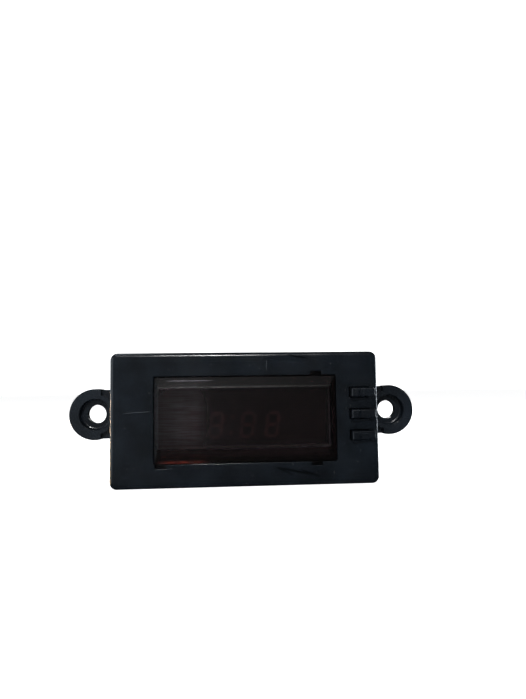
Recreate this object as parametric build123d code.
"""A panel-mounted digital meter display, built as an assembly of separate pieces.

The unit is a flat box: a moulded front bezel with a tinted window and three small set
buttons, a rear housing with a mounting ear at each side, and between them a circuit board
that carries a four-digit display, three key switches and the parts that run them.

Everything is modelled in the bezel's own frame, in millimetres: X to the right, Y from the
front face into the unit, Z up, with the origin at the middle of the front face. Each piece
is then moved once, in save(), so that the origin of the finished model is midway between
the two ear holes, on the ears' rear faces.
"""

import os
from math import radians, tan

from build123d import *

# ---- Overall ---------------------------------------------------------------------------
BEZEL_WIDTH = 75.0
BEZEL_HEIGHT = 37.4
SKIRT_DEPTH = 10.5  # front face to the rear edge of the bezel's skirt
REAR_ROOM = 10.6  # between the board and the inside of the rear wall
WALL = 1.8
PLATE = 2.0  # thickness of the bezel's front plate
CORNER_RADIUS = 2.0
FRONT_EDGE_RADIUS = 1.2
OPENING_EDGE_RADIUS = 0.2  # rim of the window and of the button slots
SEAM = 0.2  # gap between the bezel's skirt and the housing
HOUSING_STEP = 0.4  # how far the housing stands in from the bezel all round
REAR_EDGE_RADIUS = 1.2

# ---- Clearances ------------------------------------------------------------------------
FIT = 0.15  # lip in skirt, piece in recess
WINDOW_GAP = 0.35  # lens in the window
BUTTON_GAP = 0.2  # button in its slot
RUNNING = 0.05  # moving piece in its guide
LEAD_GAP = 0.2  # lead in its board hole
SOCKET_GAP = 0.3  # connector in the rear cut-out

# ---- Mounting ears ---------------------------------------------------------------------
EAR_OVERHANG = 6.5  # bezel's side to the centre of the ear hole
EAR_RISE = 1.4  # ear holes above the middle of the bezel
EAR_RADIUS = 7.5
EAR_FRONT = 11.0
EAR_THICKNESS = 5.0
EAR_HOLE_RADIUS = 2.75
EAR_RECESS_RADIUS = 4.65
EAR_RECESS_DEPTH = 2.6
EAR_COLLAR_RADIUS = 5.9
EAR_POCKET_DEPTH = 1.6
EAR_POCKET_EDGE = 1.7  # from the hole's centre towards the unit, where the pockets begin
EAR_WEB_HALF = 7.2  # half height of the web beside the disc
EAR_ROOT_HALF = 8.3  # the same where it meets the housing
EAR_FLARE = 2.3  # width of the stretch that flares
EAR_RECESS_FILLET = 0.7
EAR_EDGE_RADIUS = 0.3

# ---- Window and lens -------------------------------------------------------------------
WINDOW_WIDTH = 51.0
WINDOW_HEIGHT = 24.1
LENS_FLANGE_LAP = 1.2
LENS_FLANGE = 1.5
LENS_STAND = 0.7  # height of the lens's upright sides above the front face
LENS_RISE = 2.2  # height of the lens's front pane above the front face
LENS_WALL = 1.6
LENS_LEFT_BEVEL = 1.1
LENS_RIGHT_BEVEL = 2.1
LENS_TOP_BEVEL = 2.8
LENS_BOTTOM_BEVEL = 4.2
LENS_EDGE_RADIUS = 0.15
HOOKS = ((-23.6, -1), (19.9, 1), (19.9, -1))  # place along X, and 1 above or -1 below the window
HOOK_NOTCH_WIDTH = 3.2
HOOK_NOTCH_HEIGHT = 1.15
HOOK_WIDTH = 2.6
HOOK_THICKNESS = 1.0
HOOK_CATCH = 0.7
HOOK_HEAD = 1.0

# ---- Set buttons -----------------------------------------------------------------------
BUTTON_EDGE = 8.0  # bezel's right side to the left end of a button
BUTTON_LENGTH = 6.8
BUTTON_HEIGHT = 2.5
BUTTON_PITCH = 6.0
BUTTON_RAISE = 1.0  # the row's middle above the middle of the bezel
BUTTON_STAND = 1.7
BUTTON_HEAD_STAND = 2.2
BUTTON_HEAD_LENGTH = 2.0
BUTTON_OVERHANG = 1.3  # part of the bar that passes over the plate, past the slot
BUTTON_OVERHANG_LIFT = 0.75
BUTTON_FLANGE_LAP = 0.4
BUTTON_FLANGE = 1.0
BUTTON_EDGE_RADIUS = 0.45
BUTTON_STEM_RADIUS = 1.1
BUTTON_FREE_PLAY = 0.2
SWITCH_TRAVEL = 0.3
PIP_RADIUS = 0.28
PIP_HEIGHT = 0.12
PIP_PITCH = 0.75
BUTTON_NAMES = ("upper", "middle", "lower")

# ---- Key switches ----------------------------------------------------------------------
SWITCH_SIDE = 4.5
SWITCH_BASE = 2.4
SWITCH_COVER = 0.3
SWITCH_PLUNGER_RADIUS = 1.2
SWITCH_PLUNGER_STAND = 1.5  # above the cover
SWITCH_FLANGE_RADIUS = 1.6
SWITCH_FLANGE = 0.45
SWITCH_LEG = (0.7, 0.3)
SWITCH_LEG_X = 1.6
SWITCH_TAB = 1.4
DOME_RADIUS = 1.55
DOME_RISE = 0.12
DOME_THICKNESS = 0.08
DOME_GAP = 0.05

# ---- Circuit board ---------------------------------------------------------------------
BOARD_FRONT = 14.0
BOARD = 1.6
BOARD_EDGE_GAP = 1.3
SCREW_INSET = 4.1  # from the bezel's inner walls to a screw's axis, along X
SCREW_INSET_Z = 3.7  # the same, along Z
BOSS_RADIUS = 2.5
TUBE_RADIUS = 3.2
LEAD_RADIUS = 0.3
LEAD_TAIL = 0.7  # how far a lead stands through the board

# ---- Case screws -----------------------------------------------------------------------
SCREW_RADIUS = 1.3
SCREW_HEAD_RADIUS = 2.4
SCREW_HEAD = 1.7
SCREW_BITE = 8.0  # length in the bezel's boss
SCREW_SEAT = 4.0  # rear face to the seat under the head
SCREW_POINT = 0.8
SCREW_SLOT = (0.6, 2.6, 0.9)  # width, length and depth of each arm of the cross
PILOT_GAP = 0.02
SCREW_HOLE_GAP = 0.15
HEAD_GAP = 0.35

# ---- Display module --------------------------------------------------------------------
DISPLAY_X = -3.9
DISPLAY_Z = -2.15
DISPLAY_WIDTH = 32.5
DISPLAY_HEIGHT = 12.4
DISPLAY_FRONT = 8.0
DISPLAY_BODY = 5.2
DISPLAY_FOOT_RADIUS = 0.6
DISPLAY_FOOT_INSET = 1.2
DIGIT_HEIGHT = 7.62
DIGIT_WIDTH = 4.2
DIGIT_SLANT = 8.0
DIGIT_OFFSETS = (-11.87, -4.6, 4.6, 11.87)
SEGMENT_WIDTH = 0.9
SEGMENT_GAP = 0.1
SEGMENT_DEPTH = 0.6
COLON_RADIUS = 0.5
COLON_SPREAD = 2.3
DISPLAY_PIN_ROWS = 5.08
DISPLAY_PIN_COUNT = 12
PIN_PITCH = 2.54

# ---- Light baffle ----------------------------------------------------------------------
BAFFLE_WALL = 1.2
BAFFLE_GAP = 0.25  # baffle clear of the hooks' catches
BAFFLE_MASK = 0.8
BAFFLE_MASK_GAP = 0.1
BAFFLE_VIEW = (30.6, 9.8)

# ---- Connector -------------------------------------------------------------------------
SOCKET_X = 18.6
SOCKET_Z = -2.0
SOCKET_WIDTH = 15.6
SOCKET_HEIGHT = 8.0
SOCKET_WALL = 1.0
SOCKET_FLOOR = 3.0
SOCKET_STAND = 0.6  # how far the shell stands out of the rear face
SOCKET_PIN = 0.64
SOCKET_PIN_COUNT = 5
SOCKET_PIN_PITCH = 2.5
SOCKET_PIN_LENGTH = 5.5
SOCKET_KEY = (2.2, 1.0)  # width and depth of the polarising slot

# ---- Parts on the rear of the board ----------------------------------------------------
CHIP_X, CHIP_Z = -8.0, 9.6
CHIP_LENGTH, CHIP_WIDTH, CHIP_BODY, CHIP_STAND = 18.0, 7.5, 2.3, 0.15
CHIP_LEG_COUNT = 14
CHIP_LEG_PITCH = 1.27
CHIP_LEG = (0.42, 0.25, 1.4)
CRYSTAL_X, CRYSTAL_Z = -27.4, 7.0
CRYSTAL_LENGTH, CRYSTAL_WIDTH, CRYSTAL_HEIGHT = 10.2, 3.8, 3.5
CRYSTAL_FLANGE = 0.45
CRYSTAL_LEAD_PITCH = 4.88
CAPACITORS = {"supply": (18.5, 10.2, 3.15, 7.2), "filter": (-29.0, -3.4, 2.5, 7.0)}
CAPACITOR_SLEEVE = 0.2
CAPACITOR_LEAD_PITCH = 2.5
RESISTOR_Z = -11.3
RESISTOR_X = (-21.5, -8.6, 4.3, 17.2)
RESISTOR_LENGTH, RESISTOR_RADIUS = 6.3, 1.15
RESISTOR_LEAD_PITCH = 10.16
DIODE_Z = -14.2
DIODE_X = (-15.0, -2.0)
DIODE_LENGTH, DIODE_RADIUS = 4.2, 0.95
DIODE_LEAD_PITCH = 7.62
WIRE_RADIUS = 0.28
TRANSISTORS = ((7.0, 10.2), (12.0, 10.2))
TRANSISTOR_RADIUS, TRANSISTOR_FLAT, TRANSISTOR_HEIGHT, TRANSISTOR_STAND = 2.3, 1.3, 4.6, 2.0
TRANSISTOR_LEAD_PITCH = 1.27
REGULATOR_X, REGULATOR_Z = -21.5, -3.0
REGULATOR_WIDTH, REGULATOR_THICKNESS, REGULATOR_HEIGHT = 7.4, 2.6, 7.0
REGULATOR_STAND = 1.0
REGULATOR_LEAD_PITCH = 2.29

# ---- Rear face -------------------------------------------------------------------------
VENT_X = (-22.0, -12.0)
VENT_LENGTH, VENT_HEIGHT, VENT_PITCH, VENT_COUNT = 7.0, 1.2, 2.6, 5
VENT_Z = -1.0
LABEL_X, LABEL_Z, LABEL_WIDTH, LABEL_HEIGHT, LABEL_DEPTH = 12.0, 11.3, 28.0, 7.0, 0.4
LABEL_CORNER = 0.8
LABEL_MARGIN = 0.4  # bare recess round the label
LABEL_FILM = 0.15

# ---- Worked out from the values above --------------------------------------------------
INNER_HALF_X = BEZEL_WIDTH / 2 - WALL
INNER_HALF_Z = BEZEL_HEIGHT / 2 - WALL
EAR_X = BEZEL_WIDTH / 2 + EAR_OVERHANG
EAR_BACK = EAR_FRONT + EAR_THICKNESS
HOUSING_WIDTH = BEZEL_WIDTH - 2 * HOUSING_STEP
HOUSING_HEIGHT = BEZEL_HEIGHT - 2 * HOUSING_STEP
HOUSING_FRONT = SKIRT_DEPTH + SEAM
BOARD_REAR = BOARD_FRONT + BOARD
REAR_INSIDE = BOARD_REAR + REAR_ROOM
UNIT_DEPTH = REAR_INSIDE + WALL  # front face to the rear face of the housing
BOARD_WIDTH = 2 * (HOUSING_WIDTH / 2 - WALL - BOARD_EDGE_GAP)
BOARD_HEIGHT = 2 * (HOUSING_HEIGHT / 2 - WALL - BOARD_EDGE_GAP)
SCREW_X = INNER_HALF_X - SCREW_INSET
SCREW_Z = INNER_HALF_Z - SCREW_INSET_Z
SCREW_PLACES = [(sx * SCREW_X, sz * SCREW_Z) for sx in (-1, 1) for sz in (-1, 1)]
LENS_WIDTH = WINDOW_WIDTH - 2 * WINDOW_GAP
LENS_HEIGHT = WINDOW_HEIGHT - 2 * WINDOW_GAP
FLANGE_WIDTH = WINDOW_WIDTH + 2 * LENS_FLANGE_LAP
FLANGE_HEIGHT = WINDOW_HEIGHT + 2 * LENS_FLANGE_LAP
FLANGE_BACK = PLATE + LENS_FLANGE
BUTTON_LEFT = BEZEL_WIDTH / 2 - BUTTON_EDGE
BUTTON_BODY_RIGHT = BUTTON_LEFT + BUTTON_LENGTH - BUTTON_OVERHANG
SWITCH_X = (BUTTON_LEFT + BUTTON_BODY_RIGHT) / 2
BUTTON_Z = [BUTTON_RAISE + step * BUTTON_PITCH for step in (1, 0, -1)]
COVER_FRONT = BOARD_FRONT - SWITCH_BASE - SWITCH_COVER
PLUNGER_TOP = COVER_FRONT - SWITCH_PLUNGER_STAND
BUTTON_STEM_END = PLUNGER_TOP - BUTTON_FREE_PLAY
FLANGE_END = COVER_FRONT + SWITCH_COVER + RUNNING + SWITCH_FLANGE
SWITCH_CAVITY_BACK = FLANGE_END + SWITCH_TRAVEL + DOME_GAP + DOME_RISE + DOME_THICKNESS
SCREW_HEAD_SEAT = UNIT_DEPTH - SCREW_SEAT
SCREW_TIP = BOARD_FRONT - SCREW_BITE
LEAD_END = BOARD_REAR + LEAD_TAIL  # tail of a part on the front of the board
LEAD_START = BOARD_FRONT - LEAD_TAIL  # tail of a part on the rear of the board
BAFFLE_BACK = LEAD_START - FIT  # the baffle's walls stop short of the leads; its four feet reach the board


# ---- Shapes used throughout ------------------------------------------------------------
def slab(width, height, front, back, x=0.0, z=0.0, radius=0.0):
    """A block from depth front to depth back, with its long corners rounded if asked."""
    block = Pos(x, (front + back) / 2, z) * Box(width, back - front, height)
    if radius > 0:
        block = fillet(block.edges().filter_by(Axis.Y), radius)
    return block


def rod(radius, front, back, x=0.0, z=0.0):
    """A round bar along the depth."""
    return Pos(x, (front + back) / 2, z) * Rot(90, 0, 0) * Cylinder(radius, back - front)


def wire(points, radius=WIRE_RADIUS):
    """A bent lead through the given points, its corners rounded."""
    path = FilletPolyline(*points, radius=3 * radius)
    start = Plane(origin=path @ 0, z_dir=path % 0)
    return sweep(start * Circle(radius), path)


def outline(points, front, back):
    """A flat shape in X and Z, given by its corners, extruded from depth front to back."""
    corners = [(x, front, z) for x, z in points]
    return extrude(make_face(Polyline(*corners, close=True)), back - front, dir=(0, 1, 0))


def together(shapes):
    """Separate solids that share one node."""
    return Compound(children=[solid for shape in shapes for solid in shape.solids()])


# ---- Bezel -----------------------------------------------------------------------------
def lens_hook(x, side):
    """A snap hook behind the front plate that holds the lens's flange. side is 1 or -1."""
    arm_inner = FLANGE_HEIGHT / 2 + FIT
    arm = slab(HOOK_WIDTH, HOOK_THICKNESS, PLATE, FLANGE_BACK + FIT + HOOK_HEAD,
               x, side * (arm_inner + HOOK_THICKNESS / 2))
    catch_back = FLANGE_BACK + FIT
    catch = Polyline(
        (x - HOOK_WIDTH / 2, catch_back, side * arm_inner),
        (x - HOOK_WIDTH / 2, catch_back, side * (arm_inner - HOOK_CATCH)),
        (x - HOOK_WIDTH / 2, catch_back + HOOK_HEAD, side * arm_inner),
        close=True,
    )
    return arm + extrude(make_face(catch), HOOK_WIDTH, dir=(1, 0, 0))


def make_bezel():
    shell = slab(BEZEL_WIDTH, BEZEL_HEIGHT, 0, SKIRT_DEPTH, radius=CORNER_RADIUS)
    shell = fillet(shell.faces().sort_by(Axis.Y)[0].edges(), FRONT_EDGE_RADIUS)
    shell -= slab(2 * INNER_HALF_X, 2 * INNER_HALF_Z, PLATE, SKIRT_DEPTH + 1)
    for x, z in SCREW_PLACES:
        shell += rod(BOSS_RADIUS, PLATE, BOARD_FRONT, x, z)
        side = 1 if x > 0 else -1
        shell += slab(INNER_HALF_X - abs(x), WALL, PLATE, SKIRT_DEPTH - 2 * WALL,
                      side * (INNER_HALF_X + abs(x)) / 2, z)
    for x, side in HOOKS:
        shell += lens_hook(x, side)
        reach = WINDOW_HEIGHT / 2 + HOOK_NOTCH_HEIGHT / 2
        shell -= slab(HOOK_NOTCH_WIDTH, HOOK_NOTCH_HEIGHT, -1, PLATE, x, side * reach)
    shell -= slab(WINDOW_WIDTH, WINDOW_HEIGHT, -1, PLATE)
    slot_width = BUTTON_BODY_RIGHT - BUTTON_LEFT + 2 * BUTTON_GAP
    for z in BUTTON_Z:
        shell -= slab(slot_width, BUTTON_HEIGHT + 2 * BUTTON_GAP, -1, PLATE, SWITCH_X, z)
    front = shell.faces().sort_by(Axis.Y)[0]
    shell = fillet(front.inner_wires().edges(), OPENING_EDGE_RADIUS)
    pilot_end = SCREW_TIP - SCREW_POINT
    for x, z in SCREW_PLACES:
        shell -= rod(SCREW_RADIUS + PILOT_GAP, pilot_end, BOARD_FRONT + 1, x, z)
    return shell


# ---- Lens ------------------------------------------------------------------------------
def lens_solid(margin, rear):
    """The lens's outer form, taken in by margin on every face; the pocket is this too."""
    half_x = LENS_WIDTH / 2 - margin
    half_z = LENS_HEIGHT / 2 - margin
    shoulder = -LENS_STAND + margin
    pane = -LENS_RISE + margin
    left = -LENS_WIDTH / 2 + LENS_LEFT_BEVEL + margin / 2
    right = LENS_WIDTH / 2 - LENS_RIGHT_BEVEL - margin / 2
    top = LENS_HEIGHT / 2 - LENS_TOP_BEVEL - margin / 2
    bottom = -LENS_HEIGHT / 2 + LENS_BOTTOM_BEVEL + margin / 2
    base = make_face(Polyline((-half_x, shoulder, -half_z), (half_x, shoulder, -half_z),
                              (half_x, shoulder, half_z), (-half_x, shoulder, half_z), close=True))
    front = make_face(Polyline((left, pane, bottom), (right, pane, bottom),
                               (right, pane, top), (left, pane, top), close=True))
    return slab(2 * half_x, 2 * half_z, shoulder, rear) + loft([base, front])


def make_lens():
    body = lens_solid(0, PLATE)
    visible = [edge for edge in body.edges() if edge.center().Y < PLATE / 2]
    body = fillet(visible, LENS_EDGE_RADIUS)
    body += slab(FLANGE_WIDTH, FLANGE_HEIGHT, PLATE, FLANGE_BACK)
    return body - lens_solid(LENS_WALL, FLANGE_BACK + 1)


# ---- Buttons ---------------------------------------------------------------------------
def make_button(z, pips):
    right = BUTTON_LEFT + BUTTON_LENGTH
    head_right = BUTTON_LEFT + BUTTON_HEAD_LENGTH
    profile = Polyline(
        (BUTTON_LEFT, PLATE, z), (BUTTON_LEFT, -BUTTON_HEAD_STAND, z),
        (head_right, -BUTTON_HEAD_STAND, z), (head_right + 0.5, -BUTTON_STAND, z),
        (right, -BUTTON_STAND, z), (right, -BUTTON_OVERHANG_LIFT, z),
        (BUTTON_BODY_RIGHT, -BUTTON_OVERHANG_LIFT, z), (BUTTON_BODY_RIGHT, PLATE, z), close=True)
    bar = extrude(make_face(profile), BUTTON_HEIGHT / 2, dir=(0, 0, 1), both=True)
    outer = [edge for edge in bar.edges()
             if edge.center().Y < -BUTTON_OVERHANG_LIFT - 0.1]
    bar = fillet(outer, BUTTON_EDGE_RADIUS)
    flange_length = BUTTON_BODY_RIGHT - BUTTON_LEFT + 2 * (BUTTON_GAP + BUTTON_FLANGE_LAP)
    flange_height = BUTTON_HEIGHT + 2 * (BUTTON_GAP + BUTTON_FLANGE_LAP)
    bar += slab(BUTTON_BODY_RIGHT - BUTTON_LEFT, BUTTON_HEIGHT, PLATE, PLATE + BUTTON_FLANGE, SWITCH_X, z)
    bar += slab(flange_length, flange_height, PLATE + RUNNING, PLATE + RUNNING + BUTTON_FLANGE, SWITCH_X, z)
    bar += rod(BUTTON_STEM_RADIUS, PLATE + BUTTON_FLANGE, BUTTON_STEM_END, SWITCH_X, z)
    first = z - (pips - 1) * PIP_PITCH / 2
    for step in range(pips):
        bar += rod(PIP_RADIUS, -BUTTON_HEAD_STAND - PIP_HEIGHT, -BUTTON_HEAD_STAND + PIP_HEIGHT,
                   BUTTON_LEFT + BUTTON_HEAD_LENGTH / 2, first + step * PIP_PITCH)
    return bar


# ---- Key switches ----------------------------------------------------------------------
def make_switch_dome(z):
    """The snap dome under the plunger, drawn as it is when pressed nearly flat."""
    sphere_radius = (DOME_RADIUS ** 2 + DOME_RISE ** 2) / (2 * DOME_RISE)
    centre = SWITCH_CAVITY_BACK - DOME_RISE - DOME_THICKNESS + sphere_radius
    shell = Pos(SWITCH_X, centre, z) * (Sphere(sphere_radius) - Sphere(sphere_radius - DOME_THICKNESS))
    return shell & rod(DOME_RADIUS, SWITCH_CAVITY_BACK - 1, SWITCH_CAVITY_BACK, SWITCH_X, z)


def make_switch_base(z):
    base = slab(SWITCH_SIDE, SWITCH_SIDE, COVER_FRONT + SWITCH_COVER, BOARD_FRONT, SWITCH_X, z)
    return base - rod(SWITCH_FLANGE_RADIUS + FIT, COVER_FRONT, SWITCH_CAVITY_BACK, SWITCH_X, z)


def make_switch_cover(z):
    cover = slab(SWITCH_SIDE, SWITCH_SIDE, COVER_FRONT, COVER_FRONT + SWITCH_COVER, SWITCH_X, z)
    for side in (-1, 1):
        cover += slab(SWITCH_COVER, SWITCH_TAB, COVER_FRONT, COVER_FRONT + SWITCH_COVER + SWITCH_TAB,
                      SWITCH_X + side * (SWITCH_SIDE + SWITCH_COVER) / 2, z)
    return cover - rod(SWITCH_PLUNGER_RADIUS + FIT, COVER_FRONT - 1, COVER_FRONT + 1, SWITCH_X, z)


def make_switch_plunger(z):
    flange_front = COVER_FRONT + SWITCH_COVER + RUNNING
    stem = rod(SWITCH_PLUNGER_RADIUS, PLUNGER_TOP, flange_front + SWITCH_FLANGE, SWITCH_X, z)
    stem = fillet(stem.faces().sort_by(Axis.Y)[0].edges(), SWITCH_PLUNGER_RADIUS / 4)
    return stem + rod(SWITCH_FLANGE_RADIUS, flange_front, flange_front + SWITCH_FLANGE, SWITCH_X, z)


def switch_leg_places():
    return [(SWITCH_X + sx * SWITCH_LEG_X, z + sz * SWITCH_LEG_X)
            for z in BUTTON_Z for sx in (-1, 1) for sz in (-1, 1)]


def make_switch_legs():
    width, thickness = SWITCH_LEG
    return together(slab(width, thickness, BOARD_FRONT, LEAD_END, x, z)
                    for x, z in switch_leg_places())


# ---- Display ---------------------------------------------------------------------------
def slanted(x, z):
    """A point of an upright digit, leaned over by the display's slant."""
    return x + z * tan(radians(DIGIT_SLANT)), z


def bar_segment(centre, length, upright):
    """One six-cornered bar of a digit, as corner points round its own middle."""
    half, side = length / 2 - SEGMENT_GAP, SEGMENT_WIDTH / 2
    corners = [(-half, 0), (-half + side, side), (half - side, side),
               (half, 0), (half - side, -side), (-half + side, -side)]
    if upright:
        corners = [(b, a) for a, b in corners]
    return [(centre[0] + a, centre[1] + b) for a, b in corners]


def digit_segments(offset, front, back):
    across = DIGIT_WIDTH - SEGMENT_WIDTH
    along = (DIGIT_HEIGHT - SEGMENT_WIDTH) / 2
    bars = [bar_segment((0, level * along), across, False) for level in (-1, 0, 1)]
    bars += [bar_segment((side * across / 2, half * along / 2), along, True)
             for side in (-1, 1) for half in (-1, 1)]
    shapes = []
    for bar in bars:
        points = [slanted(x, z) for x, z in bar]
        placed = [(DISPLAY_X + offset + x, DISPLAY_Z + z) for x, z in points]
        shapes.append(outline(placed, front, back))
    return shapes


def colon_dots(front, back):
    shapes = []
    for side in (-1, 1):
        x, z = slanted(0, side * COLON_SPREAD)
        shapes.append(rod(COLON_RADIUS, front, back, DISPLAY_X + x, DISPLAY_Z + z))
    return shapes


def display_pin_places():
    middle = (DISPLAY_PIN_COUNT - 1) / 2
    return [(DISPLAY_X + (n - middle) * PIN_PITCH, DISPLAY_Z + side * DISPLAY_PIN_ROWS)
            for n in range(DISPLAY_PIN_COUNT) for side in (-1, 1)]


def make_display_body():
    body = slab(DISPLAY_WIDTH, DISPLAY_HEIGHT, DISPLAY_FRONT, DISPLAY_FRONT + DISPLAY_BODY,
                DISPLAY_X, DISPLAY_Z)
    for sx in (-1, 1):
        for sz in (-1, 1):
            body += rod(DISPLAY_FOOT_RADIUS, DISPLAY_FRONT + DISPLAY_BODY, BOARD_FRONT,
                        DISPLAY_X + sx * (DISPLAY_WIDTH / 2 - DISPLAY_FOOT_INSET),
                        DISPLAY_Z + sz * (DISPLAY_HEIGHT / 2 - DISPLAY_FOOT_INSET))
    pocket_back = DISPLAY_FRONT + SEGMENT_DEPTH
    for offset in DIGIT_OFFSETS:
        for segment in digit_segments(offset, DISPLAY_FRONT, pocket_back):
            body -= segment
    for dot in colon_dots(DISPLAY_FRONT, pocket_back):
        body -= dot
    return body


def make_digit(offset):
    return together(digit_segments(offset, DISPLAY_FRONT, DISPLAY_FRONT + SEGMENT_DEPTH))


def make_colon():
    return together(colon_dots(DISPLAY_FRONT, DISPLAY_FRONT + SEGMENT_DEPTH))


def make_display_pins():
    return together(rod(LEAD_RADIUS, DISPLAY_FRONT + DISPLAY_BODY, LEAD_END, x, z)
                    for x, z in display_pin_places())


# ---- Light baffle ----------------------------------------------------------------------
def make_baffle():
    inset = HOOK_CATCH - FIT + BAFFLE_GAP
    width = FLANGE_WIDTH - 2 * inset
    height = FLANGE_HEIGHT - 2 * inset
    frame = slab(width, height, FLANGE_BACK, BAFFLE_BACK)
    frame -= slab(width - 2 * BAFFLE_WALL, height - 2 * BAFFLE_WALL, FLANGE_BACK - 1, BOARD_FRONT + 1)
    mask_back = DISPLAY_FRONT - BAFFLE_MASK_GAP
    mask = slab(width - BAFFLE_WALL, height - BAFFLE_WALL, mask_back - BAFFLE_MASK, mask_back)
    frame += mask - slab(*BAFFLE_VIEW, FLANGE_BACK, BOARD_FRONT, DISPLAY_X, DISPLAY_Z)
    for sx in (-1, 1):
        for sz in (-1, 1):
            frame += rod(BAFFLE_WALL / 2, BAFFLE_BACK - BAFFLE_WALL, BOARD_FRONT,
                         sx * (width - BAFFLE_WALL) / 2, sz * (height - BAFFLE_WALL) / 2)
    return frame


# ---- Parts on the rear of the board ----------------------------------------------------
def row_of(count, pitch):
    return [(n - (count - 1) / 2) * pitch for n in range(count)]


def make_chip():
    front = BOARD_REAR + CHIP_STAND
    body = slab(CHIP_LENGTH, CHIP_WIDTH, front, front + CHIP_BODY, CHIP_X, CHIP_Z)
    body = chamfer(body.faces().sort_by(Axis.Y)[-1].edges(), 0.4)
    mark = rod(0.6, front + CHIP_BODY - 0.15, front + CHIP_BODY + 1,
               CHIP_X - CHIP_LENGTH / 2 + 1.6, CHIP_Z - CHIP_WIDTH / 2 + 1.6)
    return body - mark


def make_chip_legs():
    """Gull-wing legs: out of the body's side, down, and flat on the board."""
    width, thickness, foot = CHIP_LEG
    middle = BOARD_REAR + CHIP_STAND + CHIP_BODY / 2
    edge = CHIP_WIDTH / 2
    legs = []
    for offset in row_of(CHIP_LEG_COUNT, CHIP_LEG_PITCH):
        for side in (-1, 1):
            x = CHIP_X + offset - width / 2
            steps = [(middle + thickness / 2, edge), (middle + thickness / 2, edge + 0.6),
                     (BOARD_REAR + thickness, edge + 0.6), (BOARD_REAR + thickness, edge + foot),
                     (BOARD_REAR, edge + foot), (BOARD_REAR, edge + 0.6 - thickness),
                     (middle - thickness / 2, edge + 0.6 - thickness), (middle - thickness / 2, edge)]
            points = [(x, depth, CHIP_Z + side * reach) for depth, reach in steps]
            legs.append(extrude(make_face(Polyline(*points, close=True)), width, dir=(1, 0, 0)))
    return together(legs)


def crystal_lead_places():
    return [(CRYSTAL_X + side * CRYSTAL_LEAD_PITCH / 2, CRYSTAL_Z) for side in (-1, 1)]


def make_crystal():
    can = slab(CRYSTAL_LENGTH, CRYSTAL_WIDTH, BOARD_REAR + CRYSTAL_FLANGE,
               BOARD_REAR + CRYSTAL_HEIGHT, CRYSTAL_X, CRYSTAL_Z, radius=CRYSTAL_WIDTH / 2 - 0.05)
    can = fillet(can.faces().sort_by(Axis.Y)[-1].edges(), 0.4)
    return can + slab(CRYSTAL_LENGTH + 0.9, CRYSTAL_WIDTH + 0.9, BOARD_REAR, BOARD_REAR + CRYSTAL_FLANGE,
                      CRYSTAL_X, CRYSTAL_Z, radius=CRYSTAL_WIDTH / 2 + 0.3)


def capacitor_lead_places():
    return [(x + side * CAPACITOR_LEAD_PITCH / 2, z)
            for x, z, _, _ in CAPACITORS.values() for side in (-1, 1)]


def make_capacitor_can(name):
    """The aluminium can, with a rolled groove near its base and a scored, open top."""
    x, z, radius, height = CAPACITORS[name]
    can = rod(radius - CAPACITOR_SLEEVE, BOARD_REAR, BOARD_REAR + height - 0.1, x, z)
    top = BOARD_REAR + height - 0.1
    for angle in (0, 90):
        can -= Pos(x, top, z) * Rot(0, angle, 0) * Box(2 * radius - 2, 0.3, 0.35)
    return can


def make_capacitor_sleeve(name):
    x, z, radius, height = CAPACITORS[name]
    tube = rod(radius, BOARD_REAR, BOARD_REAR + height, x, z)
    tube = fillet(tube.faces().sort_by(Axis.Y)[-1].edges(), 2 * CAPACITOR_SLEEVE)
    inner = rod(radius - CAPACITOR_SLEEVE, BOARD_REAR - 1, BOARD_REAR + height - 0.1, x, z)
    return tube - inner - rod(radius - 0.9, BOARD_REAR, BOARD_REAR + height + 1, x, z)


def axial_lead_places():
    resistors = [(x + side * RESISTOR_LEAD_PITCH / 2, RESISTOR_Z) for x in RESISTOR_X for side in (-1, 1)]
    diodes = [(x + side * DIODE_LEAD_PITCH / 2, DIODE_Z) for x in DIODE_X for side in (-1, 1)]
    return resistors + diodes


def axial_leads(x, z, radius, length, pitch):
    """Both leads of a part that lies on the board: along, round the bend and through."""
    level = BOARD_REAR + radius
    return [wire([(x + side * length / 2, level, z), (x + side * pitch / 2, level, z),
                  (x + side * pitch / 2, LEAD_START, z)]) for side in (-1, 1)]


def make_resistors():
    bodies = []
    for x in RESISTOR_X:
        level = BOARD_REAR + RESISTOR_RADIUS
        waist = RESISTOR_RADIUS - 0.2
        body = Pos(x, level, RESISTOR_Z) * Rot(0, 90, 0) * Cylinder(waist, RESISTOR_LENGTH)
        for side in (-1, 1):
            end = Cylinder(RESISTOR_RADIUS, RESISTOR_LENGTH / 4)
            body += Pos(x + side * RESISTOR_LENGTH * 3 / 8, level, RESISTOR_Z) * Rot(0, 90, 0) * end
        bodies.append(body)
    return together(bodies)


def make_diodes():
    return together(Pos(x, BOARD_REAR + DIODE_RADIUS, DIODE_Z) * Rot(0, 90, 0)
                    * Cylinder(DIODE_RADIUS, DIODE_LENGTH) for x in DIODE_X)


def make_axial_leads():
    leads = []
    for x in RESISTOR_X:
        leads += axial_leads(x, RESISTOR_Z, RESISTOR_RADIUS, RESISTOR_LENGTH, RESISTOR_LEAD_PITCH)
    for x in DIODE_X:
        leads += axial_leads(x, DIODE_Z, DIODE_RADIUS, DIODE_LENGTH, DIODE_LEAD_PITCH)
    return together(leads)


def transistor_lead_places():
    return [(x + offset, z) for x, z in TRANSISTORS for offset in row_of(3, TRANSISTOR_LEAD_PITCH)]


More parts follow.
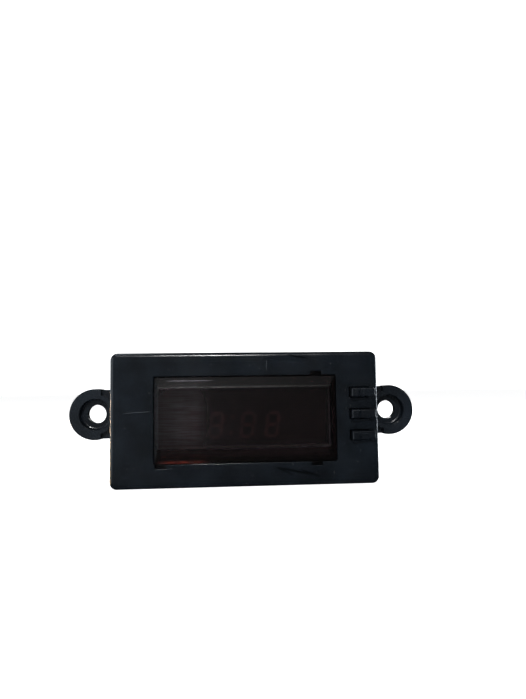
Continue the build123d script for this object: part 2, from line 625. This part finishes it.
def make_transistors():
    bodies = []
    front = BOARD_REAR + TRANSISTOR_STAND
    for x, z in TRANSISTORS:
        body = rod(TRANSISTOR_RADIUS, front, front + TRANSISTOR_HEIGHT, x, z)
        cut = slab(3 * TRANSISTOR_RADIUS, TRANSISTOR_RADIUS, front - 1, front + TRANSISTOR_HEIGHT + 1,
                   x, z - TRANSISTOR_FLAT - TRANSISTOR_RADIUS / 2)
        bodies.append(body - cut)
    return together(bodies)


def regulator_lead_places():
    return [(REGULATOR_X + offset, REGULATOR_Z) for offset in row_of(3, REGULATOR_LEAD_PITCH)]


def make_regulator():
    front = BOARD_REAR + REGULATOR_STAND
    body = slab(REGULATOR_WIDTH, REGULATOR_THICKNESS, front, front + REGULATOR_HEIGHT,
                REGULATOR_X, REGULATOR_Z)
    hole = Pos(REGULATOR_X, front + 0.7 * REGULATOR_HEIGHT, REGULATOR_Z) * Cylinder(1.5, 10)
    return body - hole


def make_component_leads():
    """Straight leads of the upright parts: crystal, capacitors, transistors and regulator."""
    leads = [rod(LEAD_RADIUS, LEAD_START, BOARD_REAR, x, z) for x, z in crystal_lead_places()]
    leads += [rod(LEAD_RADIUS, LEAD_START, BOARD_REAR, x, z) for x, z in capacitor_lead_places()]
    leads += [rod(LEAD_RADIUS, LEAD_START, BOARD_REAR + TRANSISTOR_STAND, x, z)
              for x, z in transistor_lead_places()]
    leads += [rod(LEAD_RADIUS, LEAD_START, BOARD_REAR + REGULATOR_STAND, x, z)
              for x, z in regulator_lead_places()]
    return together(leads)


# ---- Connector -------------------------------------------------------------------------
def socket_pin_places():
    return [(SOCKET_X + offset, SOCKET_Z) for offset in row_of(SOCKET_PIN_COUNT, SOCKET_PIN_PITCH)]


def make_socket_shell():
    back = UNIT_DEPTH + SOCKET_STAND
    shell = slab(SOCKET_WIDTH, SOCKET_HEIGHT, BOARD_REAR, back, SOCKET_X, SOCKET_Z, radius=0.5)
    shell -= slab(SOCKET_WIDTH - 2 * SOCKET_WALL, SOCKET_HEIGHT - 2 * SOCKET_WALL,
                  BOARD_REAR + SOCKET_FLOOR, back + 1, SOCKET_X, SOCKET_Z)
    key_width, key_depth = SOCKET_KEY
    shell -= slab(key_width, 2 * key_depth, REAR_INSIDE, back + 1,
                  SOCKET_X, SOCKET_Z + SOCKET_HEIGHT / 2)
    for x, z in socket_pin_places():
        shell -= slab(SOCKET_PIN, SOCKET_PIN, BOARD_REAR - 1, BOARD_REAR + SOCKET_FLOOR + 1, x, z)
    return shell


def make_socket_pins():
    pin_end = BOARD_REAR + SOCKET_FLOOR + SOCKET_PIN_LENGTH
    pins = []
    for x, z in socket_pin_places():
        pin = slab(SOCKET_PIN, SOCKET_PIN, LEAD_START, pin_end, x, z)
        pins.append(chamfer(pin.faces().sort_by(Axis.Y)[-1].edges(), 0.15))
    return together(pins)


# ---- Circuit board ---------------------------------------------------------------------
def make_board():
    outline_sketch = Rectangle(BOARD_WIDTH, BOARD_HEIGHT)
    drills = [(x, z, SCREW_RADIUS + SCREW_HOLE_GAP) for x, z in SCREW_PLACES]
    round_leads = (display_pin_places() + crystal_lead_places() + capacitor_lead_places()
                   + axial_lead_places() + transistor_lead_places() + regulator_lead_places())
    drills += [(x, z, LEAD_RADIUS + LEAD_GAP) for x, z in round_leads]
    drills += [(x, z, SWITCH_LEG[0] / 2 + LEAD_GAP) for x, z in switch_leg_places()]
    drills += [(x, z, SOCKET_PIN * 0.71 + LEAD_GAP) for x, z in socket_pin_places()]
    # A sketch on XY stands up on XZ after a quarter turn, so its second axis becomes Z.
    sketch = outline_sketch - [Pos(x, z) * Circle(radius) for x, z, radius in drills]
    board = Rot(90, 0, 0) * extrude(sketch, BOARD)
    return Pos(0, BOARD_REAR, 0) * board


# ---- Case screws -----------------------------------------------------------------------
def make_case_screws():
    screws = []
    slot_width, slot_length, slot_depth = SCREW_SLOT
    for x, z in SCREW_PLACES:
        shank = rod(SCREW_RADIUS, SCREW_TIP, SCREW_HEAD_SEAT, x, z)
        shank = chamfer(shank.faces().sort_by(Axis.Y)[0].edges(), SCREW_POINT)
        head = rod(SCREW_HEAD_RADIUS, SCREW_HEAD_SEAT, SCREW_HEAD_SEAT + SCREW_HEAD, x, z)
        head = fillet(head.faces().sort_by(Axis.Y)[-1].edges(), SCREW_HEAD / 2)
        for angle in (45, 135):
            arm = Box(slot_length, 2 * slot_depth, slot_width)
            head -= Pos(x, SCREW_HEAD_SEAT + SCREW_HEAD, z) * Rot(0, angle, 0) * arm
        screws.append(shank + head)
    return together(screws)


# ---- Housing ---------------------------------------------------------------------------
def ear(side):
    """One mounting ear, side 1 to the right or -1 to the left, without its hole."""
    x = side * EAR_X
    root = side * (HOUSING_WIDTH / 2 - WALL / 2)
    disc = rod(EAR_RADIUS, EAR_FRONT, EAR_BACK, x, EAR_RISE)
    top, low = EAR_RISE + EAR_WEB_HALF, EAR_RISE - EAR_WEB_HALF
    wide_top, wide_low = EAR_RISE + EAR_ROOT_HALF, EAR_RISE - EAR_ROOT_HALF
    flare = side * (BEZEL_WIDTH / 2 + EAR_FLARE)
    web = outline([(x, top), (flare, top), (side * HOUSING_WIDTH / 2, wide_top), (root, wide_top),
                   (root, wide_low), (side * HOUSING_WIDTH / 2, wide_low), (flare, low), (x, low)],
                  EAR_FRONT, EAR_BACK)
    pocket_edge = x - side * EAR_POCKET_EDGE
    pockets = slab(2 * EAR_RADIUS, 3 * EAR_RADIUS, EAR_FRONT - 1, EAR_FRONT + EAR_POCKET_DEPTH,
                   pocket_edge - side * EAR_RADIUS, EAR_RISE)
    pockets -= rod(EAR_COLLAR_RADIUS, EAR_FRONT - 2, EAR_BACK, x, EAR_RISE)
    rims = [edge for edge in disc.edges() if edge.geom_type == GeomType.CIRCLE]
    return fillet(rims, EAR_EDGE_RADIUS) + web - pockets


def ear_hole(side):
    x = side * EAR_X
    hole = rod(EAR_HOLE_RADIUS, EAR_FRONT - 1, EAR_BACK + 1, x, EAR_RISE)
    recess = rod(EAR_RECESS_RADIUS, EAR_FRONT - 1, EAR_FRONT + EAR_RECESS_DEPTH, x, EAR_RISE)
    return hole + fillet(recess.faces().sort_by(Axis.Y)[-1].edges(), EAR_RECESS_FILLET)


def make_lip():
    """The tongue along the housing's top and bottom edges that nests in the bezel's skirt."""
    lip_half = INNER_HALF_Z - FIT
    length = 2 * (SCREW_X - BOSS_RADIUS - FIT)
    front, back = SKIRT_DEPTH - WALL, HOUSING_FRONT + WALL
    lip_wall = HOUSING_HEIGHT / 2 - WALL / 2
    tongue = slab(length, 0.75 * WALL, front, back, 0, lip_half - 0.375 * WALL)
    root = slab(length, lip_wall - lip_half + 0.75 * WALL, HOUSING_FRONT, back,
                0, (lip_wall + lip_half - 0.75 * WALL) / 2)
    upper = tongue + root
    return upper + mirror(upper, Plane.XY)


def make_housing():
    shell = slab(HOUSING_WIDTH, HOUSING_HEIGHT, HOUSING_FRONT, UNIT_DEPTH,
                 radius=CORNER_RADIUS - HOUSING_STEP / 2)
    shell = fillet(shell.faces().sort_by(Axis.Y)[-1].edges(), REAR_EDGE_RADIUS)
    shell -= slab(HOUSING_WIDTH - 2 * WALL, HOUSING_HEIGHT - 2 * WALL, HOUSING_FRONT - 1, REAR_INSIDE)
    shell += make_lip()
    for side in (-1, 1):
        shell += ear(side)
        shell -= ear_hole(side)
    for x, z in SCREW_PLACES:
        shell += rod(TUBE_RADIUS, BOARD_REAR, REAR_INSIDE + WALL / 2, x, z)
    for x, z in SCREW_PLACES:
        shell -= rod(SCREW_RADIUS + SCREW_HOLE_GAP, BOARD_REAR - 1, UNIT_DEPTH + 1, x, z)
        shell -= rod(SCREW_HEAD_RADIUS + HEAD_GAP, SCREW_HEAD_SEAT, UNIT_DEPTH + 1, x, z)
    shell -= slab(SOCKET_WIDTH + 2 * SOCKET_GAP, SOCKET_HEIGHT + 2 * SOCKET_GAP,
                  REAR_INSIDE - 1, UNIT_DEPTH + 1, SOCKET_X, SOCKET_Z)
    for x in VENT_X:
        for offset in row_of(VENT_COUNT, VENT_PITCH):
            shell -= slab(VENT_LENGTH, VENT_HEIGHT, REAR_INSIDE - 1, UNIT_DEPTH + 1,
                          x, VENT_Z + offset, radius=VENT_HEIGHT / 2 - 0.05)
    shell -= slab(LABEL_WIDTH, LABEL_HEIGHT, UNIT_DEPTH - LABEL_DEPTH, UNIT_DEPTH + 1,
                  LABEL_X, LABEL_Z, radius=LABEL_CORNER)
    return shell


def make_label():
    """The blank film label in the recess of the rear face."""
    floor = UNIT_DEPTH - LABEL_DEPTH
    return slab(LABEL_WIDTH - 2 * LABEL_MARGIN, LABEL_HEIGHT - 2 * LABEL_MARGIN, floor, floor + LABEL_FILM,
                LABEL_X, LABEL_Z, radius=LABEL_CORNER)


# ---- Written files ---------------------------------------------------------------------
def save(shape, name):
    """Moves a piece from the bezel's frame to the model's and writes it."""
    placed = Pos(0, -EAR_BACK, -EAR_RISE) * shape
    export_step(placed, f"parts/{name}.step")


def main():
    os.makedirs("parts", exist_ok=True)
    pieces = {
        "bezel": make_bezel(),
        "lens": make_lens(),
        "light_baffle": make_baffle(),
        "display_body": make_display_body(),
        "display_colon": make_colon(),
        "display_pins": make_display_pins(),
        "circuit_board": make_board(),
        "switch_legs": make_switch_legs(),
        "control_chip": make_chip(),
        "control_chip_legs": make_chip_legs(),
        "crystal_can": make_crystal(),
        "resistors": make_resistors(),
        "diodes": make_diodes(),
        "axial_leads": make_axial_leads(),
        "transistors": make_transistors(),
        "voltage_regulator": make_regulator(),
        "component_leads": make_component_leads(),
        "socket_shell": make_socket_shell(),
        "socket_pins": make_socket_pins(),
        "rear_housing": make_housing(),
        "rating_label": make_label(),
        "case_screws": make_case_screws(),
    }
    for number, offset in enumerate(DIGIT_OFFSETS, start=1):
        pieces[f"display_digit_{number}"] = make_digit(offset)
    for name in CAPACITORS:
        pieces[f"{name}_capacitor_can"] = make_capacitor_can(name)
        pieces[f"{name}_capacitor_sleeve"] = make_capacitor_sleeve(name)
    for pips, (name, z) in enumerate(zip(BUTTON_NAMES, BUTTON_Z), start=1):
        pieces[f"{name}_button"] = make_button(z, pips)
        pieces[f"{name}_switch_base"] = make_switch_base(z)
        pieces[f"{name}_switch_cover"] = make_switch_cover(z)
        pieces[f"{name}_switch_dome"] = make_switch_dome(z)
        pieces[f"{name}_switch_plunger"] = make_switch_plunger(z)
    for name, shape in pieces.items():
        save(shape, name)


main()
